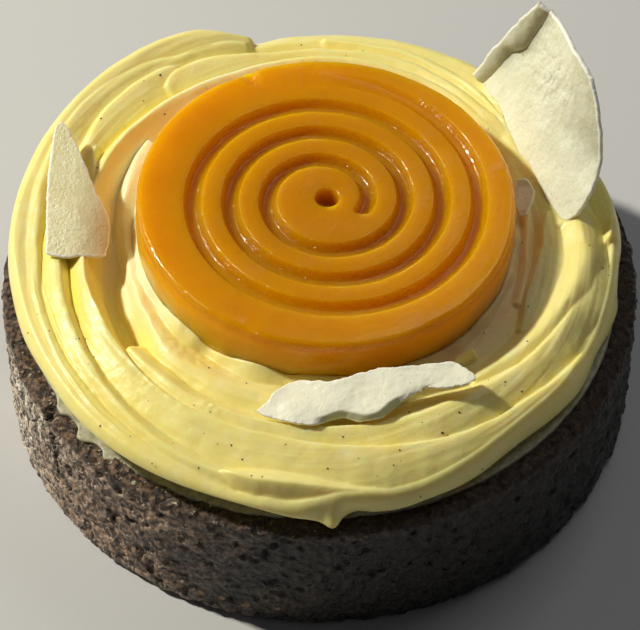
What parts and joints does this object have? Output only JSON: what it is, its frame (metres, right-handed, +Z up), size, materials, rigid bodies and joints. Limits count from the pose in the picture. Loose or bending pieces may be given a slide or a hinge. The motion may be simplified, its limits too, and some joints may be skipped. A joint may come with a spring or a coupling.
{
  "type": "cocoa coconut tart",
  "caption": "Individual round tart: dark cocoa shell, pale filling, piped vanilla cream ring, orange gel disc with a spiral groove and shards of dried coconut.",
  "frame": {"origin": "centre of the flat underside of the shell", "axes": "+Z up, -Y towards the side with the lying coconut chip, +X to the right seen from there"},
  "size_m": [0.08, 0.08, 0.0431],
  "materials": {
    "cocoa_crust": "rough baked crumb",
    "pale_filling": "soft, slightly moist",
    "vanilla_cream": "satin piped cream with vanilla specks",
    "orange_gel": "moist, slightly see-through gel",
    "dried_coconut": "dry, fine grained"
  },
  "bodies": {
    "root": {"tart_shell": "cocoa_crust", "filling": "pale_filling", "cream_swirl": "vanilla_cream", "gel_disc": "orange_gel", "coconut_chip_right": "dried_coconut", "coconut_chip_left": "dried_coconut", "coconut_chip_front": "dried_coconut", "coconut_fragment": "dried_coconut"}
  },
  "joints": []
}
